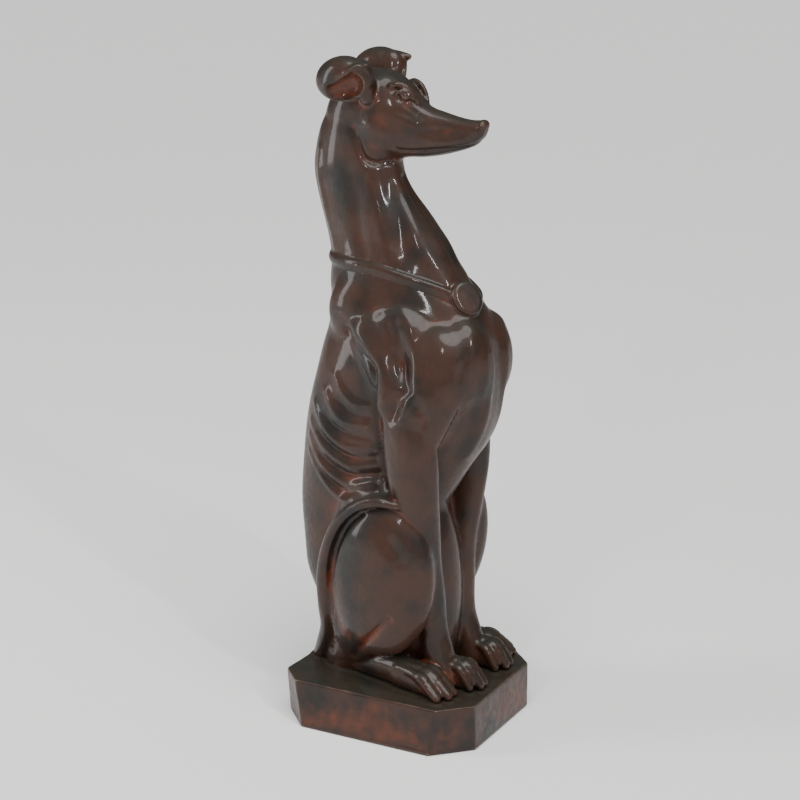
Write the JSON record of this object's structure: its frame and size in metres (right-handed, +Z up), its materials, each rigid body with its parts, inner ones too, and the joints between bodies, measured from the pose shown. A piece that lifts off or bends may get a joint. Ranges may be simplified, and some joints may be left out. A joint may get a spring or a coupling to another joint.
{
  "type": "seated greyhound statue",
  "caption": "Seated upright greyhound with collar and tag, tail over its right thigh, cast in one piece with a low plinth with cut corners.",
  "frame": {"origin": "centre of the plinth's underside", "axes": "+Z up through the figure, -Y the way the dog faces, +X to the dog's left"},
  "size_m": [0.2176, 0.2643, 0.7788],
  "materials": {
    "dark_brown_patina": "dark brown patina over rust brown, waxed to a shine"
  },
  "bodies": {
    "root": {"greyhound_statue": "dark_brown_patina"}
  },
  "joints": []
}
